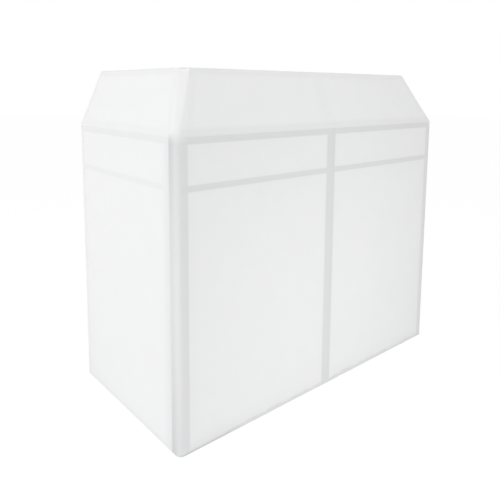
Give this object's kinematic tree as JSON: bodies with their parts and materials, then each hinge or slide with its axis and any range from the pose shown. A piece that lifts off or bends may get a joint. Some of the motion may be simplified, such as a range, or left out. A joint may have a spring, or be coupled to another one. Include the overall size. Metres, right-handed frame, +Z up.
{
  "type": "dj booth",
  "caption": "Free-standing DJ booth: a tube frame with an inward-leaning top band, swinging side wings, an inner shelf and a white stretch-cloth cover, open at the back.",
  "frame": {"origin": "on the floor, at the middle of the booth's width and depth", "axes": "+Z up, +X to the right seen from the front, the covered front faces -Y"},
  "size_m": [1.25, 0.62, 1.12],
  "materials": {
    "cloth": "white knit",
    "frame_paint": "satin white powder coat on steel tube",
    "shelf_board": "white laminated board",
    "black_plastic": "moulded black",
    "zinc_steel": "zinc plated"
  },
  "bodies": {
    "front": {"centre_bolts": "zinc_steel", "centre_spacers": "zinc_steel", "front_cover": "cloth", "front_crown_cover": "cloth", "front_feet": "black_plastic", "front_left_bottom_rail": "frame_paint", "front_left_centre_post": "frame_paint", "front_left_centre_strut": "frame_paint", "front_left_knee_rail": "frame_paint", "front_left_ledge": "frame_paint", "front_left_mid_rail": "frame_paint", "front_left_outer_post": "frame_paint", "front_left_outer_strut": "frame_paint", "front_left_rim_rail": "frame_paint", "front_right_bottom_rail": "frame_paint", "front_right_centre_post": "frame_paint", "front_right_centre_strut": "frame_paint", "front_right_knee_rail": "frame_paint", "front_right_ledge": "frame_paint", "front_right_mid_rail": "frame_paint", "front_right_outer_post": "frame_paint", "front_right_outer_strut": "frame_paint", "front_right_rim_rail": "frame_paint", "front_rim_caps": "black_plastic", "pivot_pins": "zinc_steel", "pivot_plates": "frame_paint"},
    "left_wing": {"left_wing_back_post": "frame_paint", "left_wing_back_strut": "frame_paint", "left_wing_bottom_rail": "frame_paint", "left_wing_bushes": "black_plastic", "left_wing_cover": "cloth", "left_wing_crown_cover": "cloth", "left_wing_foot": "black_plastic", "left_wing_front_strut": "frame_paint", "left_wing_knee_rail": "frame_paint", "left_wing_ledge": "frame_paint", "left_wing_mid_rail": "frame_paint", "left_wing_pivot_post": "frame_paint", "left_wing_rim_caps": "black_plastic", "left_wing_rim_rail": "frame_paint"},
    "right_wing": {"right_wing_back_post": "frame_paint", "right_wing_back_strut": "frame_paint", "right_wing_bottom_rail": "frame_paint", "right_wing_bushes": "black_plastic", "right_wing_cover": "cloth", "right_wing_crown_cover": "cloth", "right_wing_foot": "black_plastic", "right_wing_front_strut": "frame_paint", "right_wing_knee_rail": "frame_paint", "right_wing_ledge": "frame_paint", "right_wing_mid_rail": "frame_paint", "right_wing_pivot_post": "frame_paint", "right_wing_rim_caps": "black_plastic", "right_wing_rim_rail": "frame_paint"},
    "shelf": {"shelf": "shelf_board"},
    "lower_clamp_knob": {"lower_clamp_knob": "black_plastic"},
    "upper_clamp_knob": {"upper_clamp_knob": "black_plastic"}
  },
  "joints": [
    {"name": "left_wing_swing", "type": "hinge", "parent": "front", "child": "left_wing", "pos_m": [-0.6084, -0.2934, 0.45], "axis": [0, 0, 1], "range_deg": [0, 90]},
    {"name": "right_wing_swing", "type": "hinge", "parent": "front", "child": "right_wing", "pos_m": [0.6084, -0.2934, 0.45], "axis": [0, 0, -1], "range_deg": [0, 90]},
    {"name": "shelf_slide", "type": "slide", "parent": "front", "child": "shelf", "axis": [0, 1, 0], "range_m": [0, 0.6]},
    {"name": "upper_knob_turn", "type": "hinge", "parent": "front", "child": "upper_clamp_knob", "pos_m": [0.032, -0.2963, 0.651], "axis": [1, 0, 0], "continuous": true},
    {"name": "lower_knob_turn", "type": "hinge", "parent": "front", "child": "lower_clamp_knob", "pos_m": [0.032, -0.2963, 0.18], "axis": [1, 0, 0], "continuous": true}
  ]
}
